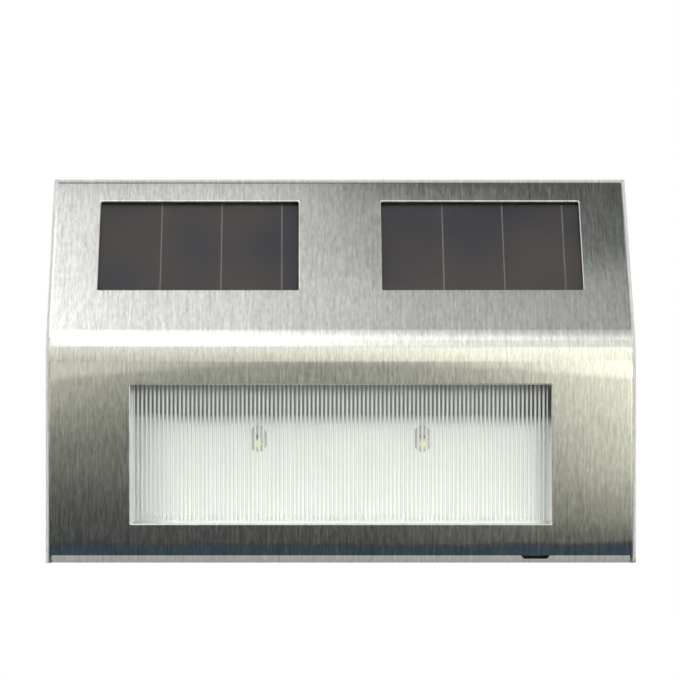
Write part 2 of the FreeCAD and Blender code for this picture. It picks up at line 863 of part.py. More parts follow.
def reflector():
    """White tray behind the lens, with tilted sockets for the diodes and four screw lugs."""
    tray = tray_loft(tray_wall, seat_y, tray_back + tray_wall)
    lug_low = seat_y + lug_boss_height
    half = lug_size / 2
    for x, z in lug_places():
        side = 1 if x > 0 else -1
        span = sorted((side * (mouth_half - tray_side_taper), x + side * half))
        tray = tray.fuse(box(span[0], span[1], lug_low, lug_low + lug_thickness, z - half, z + half))
        tray = tray.cut(post(x, z, small_screw_radius + hole_clearance, lug_low - overrun, lug_low + overrun))
    for x in led_places():
        socket = post(0, 0, led_radius + led_socket_wall, -led_base, -led_flange_height)
        tray = tray.fuse(on_led(socket, x))
    inside = tray_loft(0, seat_y, tray_back)
    tray = tray.cut(inside)
    for x in led_places():
        bore = post(0, 0, led_radius + led_socket_clearance, -led_length - overrun, overrun)
        seat = post(0, 0, led_flange_radius + led_socket_clearance, -led_flange_height, overrun)
        tray = tray.cut(on_led(bore.fuse(seat), x))
    return tray.removeSplitter()


def tape_frame(x, half_x, low, high, inner_half, inner_low, inner_high):
    """Frame of foam tape between the sheet and what the window shows."""
    y_low = sheet
    y_high = sheet + tape_thickness
    outside = box(x - half_x, x + half_x, y_low, y_high, low, high)
    through = (y_low - overrun, y_high + overrun)
    return outside.cut(box(x - inner_half, x + inner_half, *through, inner_low, inner_high))


def solar_gasket(side):
    inner = solar_window_width / 2 + tape_window_margin
    low = solar_window_below - tape_window_margin
    high = solar_window_below + solar_window_height + tape_window_margin
    tape = tape_frame(side * solar_x, panel_width / 2, solar_s - panel_height / 2, solar_s + panel_height / 2,
                      inner, low, high)
    return on_slope(tape)


def panel_layer(side, x_low, x_high, front, thickness):
    low = solar_s - panel_height / 2
    layer = box(x_low, x_high, front, front + thickness, low, low + panel_height)
    return on_slope(layer)


def solar_glass(side):
    x = side * solar_x
    return panel_layer(side, x - panel_width / 2, x + panel_width / 2, glass_front, glass_thickness)


def solar_cells(side):
    """Three full cells and the narrow end contact, parted by scribed lines."""
    start = side * solar_x - panel_width / 2 + panel_edge
    end = side * solar_x + panel_width / 2 - panel_edge
    first = start + panel_first_cell_width + panel_scribe
    pitch = panel_cell_width + panel_scribe
    count = int((end - first) / pitch) + 1
    edges = [start] + [first + index * pitch for index in range(count)]
    low = solar_s - panel_height / 2 + panel_edge
    high = solar_s + panel_height / 2 - panel_edge
    front = glass_front + glass_thickness
    cells = []
    for index, left in enumerate(edges):
        right = edges[index + 1] - panel_scribe if index < count else end
        cells.append(on_slope(box(left, right, front, front + cell_film_thickness, low, high)))
    return Part.makeCompound(cells)


def solar_backing(side):
    x = side * solar_x
    front = glass_front + glass_thickness + cell_film_thickness
    return panel_layer(side, x - panel_width / 2, x + panel_width / 2, front, backing_thickness)


def lens_gasket():
    inner = lens_window_width / 2 + tape_window_margin
    tape = tape_frame(0, lens_width / 2, lens_z - lens_height / 2, lens_z + lens_height / 2,
                      inner, lens_z_low - tape_window_margin, lens_z_high + tape_window_margin)
    tape.translate(Vector(0, -depth, 0))
    return tape


def rib_count():
    return int((lens_window_width - 2 * rib_border) / rib_pitch)


def ribbed_lens():
    """Clear lens: a flange that seats on the frame, and a field of flat ribs parted by round grooves behind."""
    front = lens_front - depth
    half = lens_width / 2
    flange = box(-half, half, front, front + lens_flange, lens_z - lens_height / 2, lens_z + lens_height / 2)
    body_half = mouth_half - lens_body_clearance
    body_low = mouth_low + lens_body_clearance
    body_high = mouth_high - lens_body_clearance
    floor = front + lens_body
    body = box(-body_half, body_half, front, floor, body_low, body_high)
    count = rib_count()
    start = -count * rib_pitch / 2
    low = lens_z_low + rib_border
    crest = floor + rib_height
    edges = []
    here = Vector(start, crest, low)
    for index in range(1, count):
        groove = start + index * rib_pitch
        enter = Vector(groove - rib_groove_width / 2, crest, low)
        leave = Vector(groove + rib_groove_width / 2, crest, low)
        edges.append(Part.LineSegment(here, enter).toShape())
        edges.append(Part.Arc(enter, Vector(groove, floor, low), leave).toShape())
        here = leave
    root = floor - rib_height
    corners = [here, Vector(-start, crest, low), Vector(-start, root, low), Vector(start, root, low)]
    corners.append(Vector(start, crest, low))
    for first, second in zip(corners, corners[1:]):
        edges.append(Part.LineSegment(first, second).toShape())
    field = Part.Face(Part.Wire(edges)).extrude(Vector(0, 0, body_high - low))
    return flange.fuse(body).fuse(field).removeSplitter()


def lead_frame():
    """Two leads of a diode: the cathode ends in an anvil with the cup, the anode in a thin post."""
    half = led_lead_size / 2
    solids = []
    for side in (-1, 1):
        x = side * led_lead_gap / 2
        lead = box(x - half, x + half, 0, led_lead_length, -half, half)
        foot = box(x - half, x + half, -led_anvil_rise, 0, -half, half)
        if side < 0:
            anvil_low = x - half
            anvil_high = led_anvil_width / 2
            foot = foot.fuse(box(anvil_low, anvil_high, -led_anvil_rise, -led_anvil_rise / 2, -half, half))
            foot = foot.fuse(post(0, 0, led_cup_radius, -led_anvil_rise - led_cup_height, -led_anvil_rise))
        solids.append(lead.fuse(foot).removeSplitter())
    anvil_edge = led_anvil_width / 2 + half
    anode = solids[1].cut(box(0, anvil_edge, -led_anvil_rise, -led_anvil_rise / 2, -half, half))
    return [solids[0], anode]


def phosphor():
    """Drop of yellow phosphor on the cup."""
    top = -led_anvil_rise - led_cup_height
    drop = Part.makeSphere(led_cup_radius, Vector(0, top, 0))
    return drop.common(box(-led_cup_radius, led_cup_radius, top - led_cup_radius, top,
                           -led_cup_radius, led_cup_radius))


def led_lens():
    """Clear epoxy body with its dome and flange, moulded round the lead frame."""
    straight = led_length - led_radius
    body = post(0, 0, led_radius, -straight, 0)
    body = body.fuse(Part.makeSphere(led_radius, Vector(0, -straight, 0)))
    body = body.fuse(post(0, 0, led_flange_radius, -led_flange_height, 0)).removeSplitter()
    for piece in lead_frame() + [phosphor()]:
        body = body.cut(piece)
    return body


def led_board():
    """Narrow board square to the diodes, which are soldered through it."""
    half = led_board_width / 2
    rear = led_board_gap + led_board_thickness
    board = box(-half, half, led_board_gap, rear, -led_board_low, led_board_high)
    hole = led_lead_size / 2 + hole_clearance / 2
    for x in led_places():
        for side in (-1, 1):
            lead_x = x + side * led_lead_gap / 2
            board = board.cut(box(lead_x - hole, lead_x + hole, 0, rear + overrun, -hole, hole))
    return on_led(board, 0)


def countersunk_screw(x, z):
    head = Part.makeCone(back_screw_radius, back_screw_head_radius, back_screw_head_height,
                         Vector(x, -back_screw_head_height, z), Vector(0, 1, 0))
    tip = -back_screw_length
    point = tip + back_screw_radius
    shank = post(x, z, back_screw_radius, point, -back_screw_head_height)
    nose = Part.makeCone(back_screw_radius / 3, back_screw_radius, back_screw_radius,
                         Vector(x, tip, z), Vector(0, 1, 0))
    screw = head.fuse(shank).fuse(nose)
    return screw.cut(screw_cross(x, z, 0, back_screw_head_radius, -1)).removeSplitter()


def pan_screw(x, z, seat, toward):
    """Small round-headed screw whose head rests on seat and whose point goes along toward."""
    head_face = seat - toward * small_screw_head_height
    head_span = sorted((seat, head_face))
    shank_span = sorted((seat, seat + toward * small_screw_length))
    head = post(x, z, small_screw_head_radius, *head_span)
    rim = [edge for edge in head.Edges if len(edge.Vertexes) == 1
           and abs(edge.BoundBox.YMin - head_face) < small_screw_head_height / 10]
    head = head.makeChamfer(small_screw_head_height / 2, rim)
    screw = head.fuse(post(x, z, small_screw_radius, *shank_span))
    return screw.cut(screw_cross(x, z, head_face, small_screw_head_radius, toward)).removeSplitter()


def circuit_board():
    half = board_width / 2
    board = box(-half, half, board_front, board_rear, board_bottom, board_bottom + board_height)
    through = (board_front - overrun, board_rear + overrun)
    for x, z in board_screw_places():
        board = board.cut(post(x, z, small_screw_radius + hole_clearance, *through))
    for index in (-1, 0, 1):
        x = switch_x + index * switch_pin_pitch
        board = board.cut(post(x, switch_z, switch_pin_radius + hole_clearance / 2, *through))
    return board


def knob_foot_rear():
    return board_rear + switch_body_depth - knob_foot_depth


def switch_body():
    """Pressed can of the slide switch, with the track that its knob runs in."""
    half = switch_width / 2
    tall = switch_height / 2
    can = box(switch_x - half, switch_x + half, board_rear, board_rear + switch_body_depth,
              switch_z - tall, switch_z + tall)
    foot_x = knob_foot_width / 2 + switch_travel / 2 + knob_clearance
    foot_z = knob_foot_height / 2 + knob_clearance / 2
    rear = knob_foot_rear()
    track = box(switch_x - foot_x, switch_x + foot_x, rear - knob_foot_depth - knob_clearance,
                rear + knob_clearance / 2, switch_z - foot_z, switch_z + foot_z)
    mouth_x = knob_width / 2 + switch_travel / 2 + knob_clearance
    mouth_z = knob_height / 2 + knob_clearance / 2
    mouth = box(switch_x - mouth_x, switch_x + mouth_x, rear, 0, switch_z - mouth_z, switch_z + mouth_z)
    return can.cut(track).cut(mouth)


def switch_slider():
    """Moving knob with its captive foot, drawn at the off end of its travel."""
    x = switch_x - switch_travel / 2
    rear = knob_foot_rear()
    foot = box(x - knob_foot_width / 2, x + knob_foot_width / 2, rear - knob_foot_depth, rear,
               switch_z - knob_foot_height / 2, switch_z + knob_foot_height / 2)
    knob = box(x - knob_width / 2, x + knob_width / 2, rear, -knob_sink,
               switch_z - knob_height / 2, switch_z + knob_height / 2)
    return foot.fuse(knob).removeSplitter()


def switch_pins():
    pins = []
    for index in (-1, 0, 1):
        x = switch_x + index * switch_pin_pitch
        pins.append(post(x, switch_z, switch_pin_radius, board_rear - switch_pin_length, board_rear))
    return Part.makeCompound(pins)


# Parts soldered on the front of the circuit board, placed from its edges
chip_inset = 20.0
chip_drop = 10.0
chip_radius = 2.3
chip_flat = 0.9
chip_height = 4.6
coil_inset = 20.0
coil_drop = 9.0
coil_radius = 2.6
coil_flange_radius = 3.6
coil_flange = 1.0
coil_height = 6.0
capacitor_inset = 10.0
capacitor_rise = 13.0
capacitor_radius = 3.15
capacitor_height = 7.0
capacitor_edge = 0.5
resistor_inset = 26.0
resistor_rise = 9.0
resistor_radius = 1.1
resistor_length = 6.2
resistor_lead_size = 0.6
resistor_lead_reach = 1.4
resistor_pitch = 4.0
resistor_count = 2
chip_x = chip_inset - board_width / 2
chip_z = board_bottom + board_height - chip_drop
coil_x = board_width / 2 - coil_inset
coil_z = board_bottom + board_height - coil_drop
capacitor_x = capacitor_inset - board_width / 2
capacitor_z = board_bottom + capacitor_rise
resistor_x = resistor_inset - board_width / 2
resistor_z = board_bottom + resistor_rise


def controller_chip():
    """Small charge controller in a flat-faced round package standing on the board."""
    body = post(chip_x, chip_z, chip_radius, board_front - chip_height, board_front)
    flat = box(chip_x - chip_radius, chip_x + chip_radius, board_front - chip_height, board_front,
               chip_z - chip_radius, chip_z - chip_flat)
    return body.cut(flat)


def inductor():
    """Drum core inductor: two flanges on a wound waist."""
    low = board_front - coil_height
    core = post(coil_x, coil_z, coil_radius, low, board_front)
    core = core.fuse(post(coil_x, coil_z, coil_flange_radius, low, low + coil_flange))
    foot = post(coil_x, coil_z, coil_flange_radius, board_front - coil_flange, board_front)
    return core.fuse(foot).removeSplitter()


def capacitor():
    can = post(capacitor_x, capacitor_z, capacitor_radius, board_front - capacitor_height, board_front)
    rims = [edge for edge in can.Edges if len(edge.Vertexes) == 1
            and edge.BoundBox.YMin < board_front - capacitor_height / 2]
    return can.makeChamfer(capacitor_edge, rims)


def resistors():
    """Two resistors lying on the board, each on a lead bent down at both ends."""
    solids = []
    half = resistor_lead_size / 2
    for index in range(resistor_count):
        z = resistor_z - index * resistor_pitch
        y = board_front - resistor_radius - resistor_lead_size
        x = resistor_x - resistor_length / 2
        low = x - resistor_lead_reach
        high = x + resistor_length + resistor_lead_reach
        body = Part.makeCylinder(resistor_radius, resistor_length, Vector(x, y, z), Vector(1, 0, 0))
        body = body.fuse(box(low, high, y - half, y + half, z - half, z + half))
        for start in (low, high - resistor_lead_size):
            end = start + resistor_lead_size
            body = body.fuse(box(start, end, y - half, board_front, z - half, z + half))
        solids.append(body.removeSplitter())
    return Part.makeCompound(solids)


def bent_tube(points, radius):
    """Insulated wire along straight runs joined by tangent arcs, the arcs as large as the runs allow."""
    edges = []
    start = points[0]
    tightest = None
    for index in range(1, len(points) - 1):
        here = points[index]
        before = points[index - 1] - here
        after = points[index + 1] - here
        shorter = min(before.Length, after.Length)
        half = before.getAngle(after) / 2
        reach = bend_share * shorter
        bend = reach * math.tan(half)
        before.normalize()
        after.normalize()
        middle = before + after
        middle.normalize()
        enter = here + before * reach
        leave = here + after * reach
        crown = here + middle * (bend / math.sin(half) - bend)
        edges.append(Part.LineSegment(start, enter).toShape())
        edges.append(Part.Arc(enter, crown, leave).toShape())
        start = leave
        tightest = bend if tightest is None else min(tightest, bend)
    edges.append(Part.LineSegment(start, points[-1]).toShape())
    path = Part.Wire(edges)
    section = Part.Wire([Part.makeCircle(radius, points[0], points[1] - points[0])])
    tube = path.makePipeShell([section], True, False)
    print("wire", round(path.Length, 1), "mm long, tightest bend", round(tightest, 1))
    return tube


def slope_vector(x, s, inward):
    return Vector(x, -depth + s * slope_y + inward * slope_z, crease_z + s * slope_z - inward * slope_y)


def solar_wires(side):
    """Two leads from the back of a panel to the upper edge of the circuit board, each bent once."""
    solids = []
    end_z = board_bottom + board_height - board_boss_inset
    for index in (0, 1):
        x = side * (board_width / 2 - 2 * board_boss_inset - index * wire_spread)
        leave = slope_vector(x, solar_s, backing_rear)
        reach = (leave.z - end_z) / slope_y
        turn = slope_vector(x, solar_s, backing_rear + reach)
        solids.append(bent_tube([leave, turn, Vector(x, board_front, end_z)], wire_radius))
    return Part.makeCompound(solids)


def led_rear(x, rise):
    """Point on the back of the diode board."""
    out = led_board_gap + led_board_thickness
    y = led_base_y + out * led_cos - rise * led_sin
    z = led_base_z + out * led_sin + rise * led_cos
    return Vector(x, y, z)


def led_wires():
    """Two leads from the diode board up to the lower edge of the circuit board."""
    solids = []
    for index in (0, 1):
        x = (index - 0.5) * wire_spread
        leave = led_rear(x, 0)
        away = leave + Vector(0, led_cos, led_sin) * wire_spread
        low_z = board_bottom + board_boss_inset / 2
        over = Vector(x, board_front - wire_spread, low_z)
        solids.append(bent_tube([leave, away, over, Vector(x, board_front, low_z)], wire_radius))
    return Part.makeCompound(solids)


def battery_wires():
    """Leads from the tails of the two battery contacts to the lower edge of the circuit board."""
    solids = []
    tail_y = tub_floor + contact_thickness
    for side in (-1, 1):
        x = side * (recess_half_length + contact_tail_length - contact_tail_width / 2)
        end_x = side * (board_width / 2 - 2 * board_boss_inset)
        low_z = board_bottom + board_boss_inset / 2
        leave = Vector(x, tail_y, battery_z)
        away = Vector(x, tail_y - wire_spread, battery_z)
        rise = Vector(x, tail_y - wire_spread, (battery_z + low_z) / 2)
        over = Vector(end_x, board_front - wire_spread, low_z)
        solids.append(bent_tube([leave, away, rise, over, Vector(end_x, board_front, low_z)], wire_radius))
    return Part.makeCompound(solids)


def build_nodes():
    nodes = {
        "steel_cover": steel_cover(),
        "back_plate": back_plate(),
        "back_gasket": back_gasket(),
        "battery_door": battery_door(),
        "battery_can": battery_can(),
        "battery_cap": battery_cap(),
        "battery_negative_contact": negative_contact(),
        "battery_positive_contact": positive_contact(),
        "inner_frame": inner_frame(),
        "reflector": reflector(),
        "ribbed_lens": ribbed_lens(),
        "lens_gasket": lens_gasket(),
        "led_board": led_board(),
        "circuit_board": circuit_board(),
        "controller_chip": controller_chip(),
        "inductor": inductor(),
        "capacitor": capacitor(),
        "resistors": resistors(),
        "switch_body": switch_body(),
        "switch_pins": switch_pins(),
        "switch_slider": switch_slider(),
        "led_wires": led_wires(),
        "battery_wires": battery_wires(),
        "back_screws": Part.makeCompound([countersunk_screw(x, z) for x, z in ear_places()]),
        "board_screws": Part.makeCompound([pan_screw(x, z, board_front, 1) for x, z in board_screw_places()]),
    }
    lug_seat = seat_y + lug_boss_height + lug_thickness
    nodes["reflector_screws"] = Part.makeCompound([pan_screw(x, z, lug_seat, -1) for x, z in lug_places()])
    for side, name in ((-1, "left"), (1, "right")):
        nodes["solar_glass_" + name] = solar_glass(side)
        nodes["solar_cells_" + name] = solar_cells(side)
        nodes["solar_backing_" + name] = solar_backing(side)
        nodes["solar_gasket_" + name] = solar_gasket(side)
        nodes["solar_wires_" + name] = solar_wires(side)
        x = side * led_spacing / 2
        nodes["led_lens_" + name] = on_led(led_lens(), x)
        nodes["led_leads_" + name] = Part.makeCompound([on_led(lead, x) for lead in lead_frame()])
        nodes["led_phosphor_" + name] = on_led(phosphor(), x)
    return nodes


def main():
    os.makedirs("parts", exist_ok=True)
    for name, shape in build_nodes().items():
        shape.exportStep("parts/" + name + ".step")
        print(name, "solids", len(shape.Solids), "volume", round(shape.Volume, 2), "valid", shape.isValid())


main()
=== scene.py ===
import bpy
import bmesh
import math
from mathutils import Matrix, Vector


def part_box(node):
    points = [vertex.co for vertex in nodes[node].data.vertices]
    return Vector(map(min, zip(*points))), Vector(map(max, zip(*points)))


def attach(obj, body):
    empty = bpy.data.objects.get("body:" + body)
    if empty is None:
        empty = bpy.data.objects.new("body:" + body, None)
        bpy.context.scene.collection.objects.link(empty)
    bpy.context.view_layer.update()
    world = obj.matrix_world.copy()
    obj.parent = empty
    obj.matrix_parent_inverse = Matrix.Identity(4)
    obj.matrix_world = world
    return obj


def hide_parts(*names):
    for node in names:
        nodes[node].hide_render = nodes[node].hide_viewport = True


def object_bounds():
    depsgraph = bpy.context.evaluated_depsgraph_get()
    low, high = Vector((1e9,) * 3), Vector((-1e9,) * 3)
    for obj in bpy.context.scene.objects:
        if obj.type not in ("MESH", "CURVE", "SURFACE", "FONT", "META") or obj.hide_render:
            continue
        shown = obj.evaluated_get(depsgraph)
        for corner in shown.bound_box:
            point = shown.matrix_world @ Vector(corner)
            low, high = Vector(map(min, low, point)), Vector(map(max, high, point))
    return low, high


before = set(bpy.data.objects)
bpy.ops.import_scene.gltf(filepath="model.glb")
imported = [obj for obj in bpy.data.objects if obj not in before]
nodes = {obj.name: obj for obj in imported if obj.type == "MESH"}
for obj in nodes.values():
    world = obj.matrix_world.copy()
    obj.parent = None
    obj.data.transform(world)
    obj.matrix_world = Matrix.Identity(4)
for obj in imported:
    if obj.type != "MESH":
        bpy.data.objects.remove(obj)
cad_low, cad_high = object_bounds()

scene = bpy.context.scene


# Folded steel cover
# One sheet of stainless steel, 0.5 mm thick, brushed up and down before it was cut and folded, so the
# brushing runs up and down on the cheeks too.

def new_material(name):
    """Node material with its principled shader."""
    material = bpy.data.materials.new(name)
    material.use_nodes = True
    tree = material.node_tree
    return material, tree, tree.nodes["Principled BSDF"]


def node(tree, kind, **settings):
    """Adds a shader node and sets its own properties."""
    made = tree.nodes.new(kind)
    for key, value in settings.items():
        setattr(made, key, value)
    return made


def place(tree, scale=(1, 1, 1)):
    """Object coordinates, stretched where the pattern runs one way."""
    found = node(tree, "ShaderNodeTexCoord")
    mapping = node(tree, "ShaderNodeMapping")
    mapping.inputs["Scale"].default_value = scale
    tree.links.new(found.outputs["Object"], mapping.inputs["Vector"])
    return mapping.outputs["Vector"]


def axes(tree, vector):
    """The three parts of a vector."""
    made = node(tree, "ShaderNodeSeparateXYZ")
    tree.links.new(vector, made.inputs["Vector"])
    return made.outputs["X"], made.outputs["Y"], made.outputs["Z"]


def noise(tree, vector, scale, detail, roughness=0.5):
    """Cloudy pattern, most of which lies between 0.3 and 0.7."""
    made = node(tree, "ShaderNodeTexNoise")
    made.inputs["Scale"].default_value = scale
    made.inputs["Detail"].default_value = detail
    made.inputs["Roughness"].default_value = roughness
    tree.links.new(vector, made.inputs["Vector"])
    return made.outputs["Fac"]


def maths(tree, operation, *values):
    """Math node whose inputs are sockets or plain numbers."""
    made = node(tree, "ShaderNodeMath", operation=operation)
    for value, socket in zip(values, made.inputs):
        if isinstance(value, (int, float)):
            socket.default_value = value
        else:
            tree.links.new(value, socket)
    return made.outputs["Value"]


def span(tree, value, low, high, to_low, to_high):
    """Maps a value from one range to another, held at the ends."""
    made = node(tree, "ShaderNodeMapRange")
    limits = {"From Min": low, "From Max": high, "To Min": to_low, "To Max": to_high}
    for name, number in limits.items():
        made.inputs[name].default_value = number
    tree.links.new(value, made.inputs["Value"])
    return made.outputs["Result"]


def spread(tree, pattern, to_low, to_high):
    """Maps the usual range of a noise to another range."""
    return span(tree, pattern, 0.3, 0.7, to_low, to_high)


def blend_colour(tree, factor, first, second):
    """Mixes two colours, each given as a socket or as numbers."""
    made = node(tree, "ShaderNodeMix", data_type="RGBA")
    for name, colour in (("A", first), ("B", second)):
        if isinstance(colour, tuple):
            made.inputs[name].default_value = (*colour, 1)
        else:
            tree.links.new(colour, made.inputs[name])
    tree.links.new(factor, made.inputs["Factor"])
    return made.outputs["Result"]


def paint(tree, shader, factor, first, second):
    """Gives the surface a mix of two colours, and returns the mix."""
    colour = blend_colour(tree, factor, first, second)
    tree.links.new(colour, shader.inputs["Base Color"])
    return colour


def bump(tree, shader, height):
    """Relief whose height is in metres."""
    made = node(tree, "ShaderNodeBump")
    made.inputs["Distance"].default_value = 1.0
    tree.links.new(height, made.inputs["Height"])
    tree.links.new(made.outputs["Normal"], shader.inputs["Normal"])


def finish_node(name, material):
    """Gives a piece of the light its material."""
    mesh = nodes[name].data
    mesh.materials.clear()
    mesh.materials.append(material)


cheek_facing = 0.7
grain_width = 1500
steel_dark = (0.48, 0.49, 0.47)
steel_light = (0.82, 0.82, 0.79)
steel, tree, shader = new_material("brushed_stainless")
shader.inputs["Metallic"].default_value = 1.0
shader.inputs["Anisotropic"].default_value = 0.93
facing = node(tree, "ShaderNodeNewGeometry").outputs["Normal"]
on_cheek = maths(tree, "GREATER_THAN", maths(tree, "ABSOLUTE", axes(tree, facing)[0]), cheek_facing)


def drawn_out(stretch):
    """Coordinates drawn out along the brushing, on the front and on the cheeks."""
    on_front = place(tree, (1.0, stretch, stretch))
    on_side = place(tree, (stretch, 1.0, stretch))
    return blend_colour(tree, on_cheek, on_front, on_side)


fine = noise(tree, drawn_out(0.30), grain_width, 2, 0.6)
tone = maths(tree, "MULTIPLY", fine, 0.40)
for stretch, share in ((0.12, 0.34), (0.03, 0.26)):
    streak = noise(tree, drawn_out(stretch), grain_width, 2)
    tone = maths(tree, "MULTIPLY_ADD", streak, share, tone)
paint(tree, shader, spread(tree, tone, 0, 1), steel_dark, steel_light)
tree.links.new(spread(tree, tone, 0.19, 0.23), shader.inputs["Roughness"])

# The sheet is faintly wavy, and it rolls off a little before the top and lower bends. It leans into the
# crease by degrees, along an arch, and hard just under the top, where the bend shows as a light strip.
roll_start = cad_low.z + 0.0061
roll_wander = 0.0014
roll_rate = 18.0
top_roll_start = cad_high.z - 0.0034
top_roll_share = 0.15
crease_lean = 0.018
crease_start = 0.0008
crease_start_width = 0.0020
crease_wander = 0.5
crease_arch = 0.7
crease_end = 0.0085
crease_end_width = 0.0040
rim_lean = 0.30
rim_start = cad_high.z - 0.0013
rim_width = 0.0006
wave_height = 0.00008
scratch_depth = 0.0000012
x, y, z = axes(tree, place(tree))


def square(tree, value):
    return maths(tree, "POWER", value, 2.0)


def excess(tree, value, limit):
    """What a value has over a limit, and zero below it."""
    return maths(tree, "MAXIMUM", maths(tree, "SUBTRACT", value, limit), 0.0)


def leans_past(height, width):
    """Distance gained above a height by a surface that leans over gradually within a width."""
    past_start = excess(tree, z, height)
    past_width = excess(tree, past_start, width)
    squares = maths(tree, "SUBTRACT", square(tree, past_start), square(tree, past_width))
    return maths(tree, "DIVIDE", squares, 2 * width)


wander = spread(tree, noise(tree, place(tree, (1.0, 0.0, 0.0)), 16, 2), -roll_wander, roll_wander)
below = square(tree, excess(tree, maths(tree, "ADD", wander, roll_start), z))
above = square(tree, excess(tree, z, top_roll_start))
roll = maths(tree, "MULTIPLY", maths(tree, "MULTIPLY_ADD", above, top_roll_share, below), -roll_rate / 2)
arched = maths(tree, "MULTIPLY_ADD", square(tree, maths(tree, "ABSOLUTE", x)), -crease_arch, crease_start)
uneven = maths(tree, "MULTIPLY_ADD", wander, crease_wander, arched)
into_crease = leans_past(uneven, crease_start_width)
lean = maths(tree, "SUBTRACT", into_crease, leans_past(crease_end, crease_end_width))
roll = maths(tree, "MULTIPLY_ADD", lean, -crease_lean, roll)
roll = maths(tree, "MULTIPLY_ADD", leans_past(rim_start, rim_width), -rim_lean, roll)
wave = maths(tree, "MULTIPLY", noise(tree, place(tree), 26, 2), wave_height)
scratch = maths(tree, "MULTIPLY", fine, scratch_depth)
bump(tree, shader, maths(tree, "ADD", roll, maths(tree, "ADD", wave, scratch)))
brushing = (0.0, 0.05, 1.0)
across = node(tree, "ShaderNodeVectorMath", operation="CROSS_PRODUCT")
across.inputs[0].default_value = brushing
tree.links.new(facing, across.inputs[1])
tree.links.new(across.outputs["Vector"], shader.inputs["Tangent"])
finish_node("steel_cover", steel)


# Back plate and battery door
# Moulded in black ABS with a fine spark texture, which hides marks on the side that meets the wall.
# The switch's two places are marked beside its pocket in thin white ink.

spark_depth = 0.00003
black_abs, tree, shader = new_material("black_abs")
spark = noise(tree, place(tree), 2600, 3, 0.6)
mottle = noise(tree, place(tree), 60, 2)
paint(tree, shader, mottle, (0.022, 0.022, 0.024), (0.032, 0.032, 0.034))
tree.links.new(spread(tree, mottle, 0.42, 0.54), shader.inputs["Roughness"])
bump(tree, shader, maths(tree, "MULTIPLY", spark, spark_depth))
for name in ("back_plate", "battery_door"):
    finish_node(name, black_abs)

ink, tree, shader = new_material("white_ink")
shader.inputs["Roughness"].default_value = 0.6
paint(tree, shader, noise(tree, place(tree), 5000, 2), (0.66, 0.66, 0.65), (0.80, 0.80, 0.79))
switch_low, switch_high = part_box("switch_body")
switch_x = (switch_low.x + switch_high.x) / 2
switch_z = (switch_low.z + switch_high.z) / 2
letter_height = 0.0022
capital_share = 0.7
letter_gap = 0.0085
ink_half_thickness = 0.00001
facing_back = Matrix(((-1, 0, 0), (0, 0, 1), (0, 1, 0))).to_4x4()
for word, side in (("ON", 1), ("OFF", -1)):
    curve = bpy.data.curves.new("mark_" + word.lower(), "FONT")
    curve.body = word
    curve.size = letter_height / capital_share
    curve.align_x = "CENTER"
    curve.align_y = "CENTER"
    curve.extrude = ink_half_thickness
    curve.resolution_u = 3
    outline = bpy.data.objects.new("mark_outline", curve)
    mark = bpy.data.objects.new("mark_" + word.lower(), bpy.data.meshes.new_from_object(outline))
    beside_switch = Matrix.Translation((switch_x + side * letter_gap, ink_half_thickness, switch_z))
    mark.data.transform(beside_switch @ facing_back)
    mark.data.materials.append(ink)
    scene.collection.objects.link(mark)
    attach(mark, "housing")


# Inner frame and reflector
# White ABS mouldings. The frame is satin, and the tray is smoother. Over the diodes the tray's top and
# end walls carry painted shade, a grey that deepens upward and at the right end, for the window edges'
# shadow.

def white_plastic(name, low, high, roughness, depth):
    """Moulded white plastic with a faint flow mottle and a fine skin."""
    material, tree, shader = new_material(name)
    flow = noise(tree, place(tree), 45, 3)
    skin = noise(tree, place(tree), 1500, 2)
    colour = paint(tree, shader, flow, low, high)
    tree.links.new(spread(tree, skin, roughness, roughness * 1.3), shader.inputs["Roughness"])
    bump(tree, shader, maths(tree, "MULTIPLY", skin, depth))
    return material, tree, shader, colour


satin_skin = 0.00001
tray_skin = 0.000004
satin = white_plastic("white_abs", (0.74, 0.74, 0.71), (0.80, 0.80, 0.77), 0.45, satin_skin)[0]
finish_node("inner_frame", satin)

# Painted shade: grey over the tray's top wall above this height and over its end walls, for the shadow
# inside the window's edges.
shade_above = -0.0155
shade_ripple = 0.0008
shade_fade_below = 0.0014
shade_fade_above = 0.0020
shade_rim = 0.0602
rim_fade = 0.0003
left_shade_end = -0.0480
left_shade_strength = 0.7
right_shade_start = 0.0565
right_shade_strength = 0.65
end_shade_start = 0.0505
end_shade_full = 0.0545
end_shade = 0.5
shade_rise = 0.010
shade_low_grey = (0.235, 0.245, 0.24)
shade_high_grey = (0.165, 0.17, 0.17)
tray, tree, shader, colour = white_plastic("reflector_white", (0.80, 0.81, 0.80), (0.86, 0.87, 0.86),
                                           0.4, tray_skin)
x, y, z = axes(tree, place(tree))
shade_edge_wander = spread(tree, noise(tree, place(tree, (1.0, 0.0, 0.0)), 30, 2), -shade_ripple, shade_ripple)
top_wall_shade = span(tree, maths(tree, "ADD", z, shade_edge_wander), shade_above - shade_fade_below,
                shade_above + shade_fade_above, 0, 1)
inside_rim = span(tree, maths(tree, "ABSOLUTE", x), shade_rim - rim_fade, shade_rim + rim_fade, 1, 0)
left_wall_shade = maths(tree, "MULTIPLY", span(tree, x, -shade_rim, left_shade_end, left_shade_strength, 0), inside_rim)
right_wall_shade = maths(tree, "MULTIPLY", span(tree, x, right_shade_start, shade_rim, 0, right_shade_strength), inside_rim)
right_end_shade = span(tree, x, end_shade_start, end_shade_full, 1.0, end_shade)
